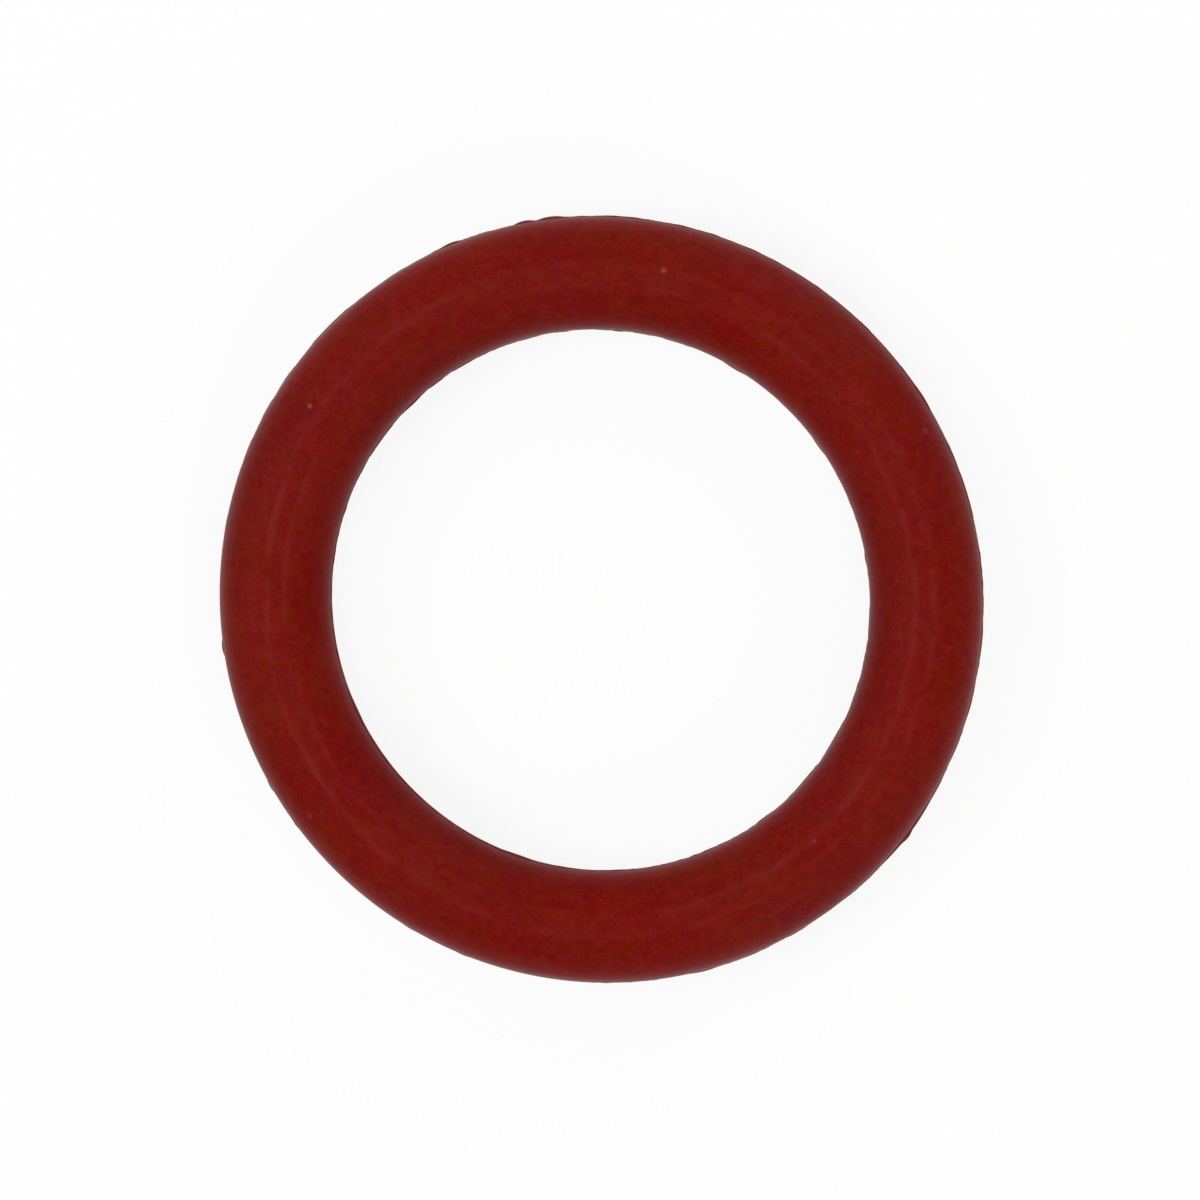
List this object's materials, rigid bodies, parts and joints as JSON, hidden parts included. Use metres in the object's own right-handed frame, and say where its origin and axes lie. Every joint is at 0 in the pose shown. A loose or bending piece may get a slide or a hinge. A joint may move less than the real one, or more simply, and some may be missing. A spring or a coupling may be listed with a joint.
{
  "type": "silicone o-ring",
  "caption": "Plain round sealing ring of dark red silicone rubber with a round section and a fine trimmed flash line.",
  "frame": {"origin": "middle of the ring, where its axis meets the plane of the flash line, halfway up the section", "axes": "+Z along the ring's axis, up from the surface that the ring lies on; +X and +Y lie in the ring's own plane"},
  "size_m": [0.017, 0.017, 0.0024],
  "materials": {
    "silicone": "matte"
  },
  "bodies": {
    "root": {"o_ring": "silicone"}
  },
  "joints": []
}
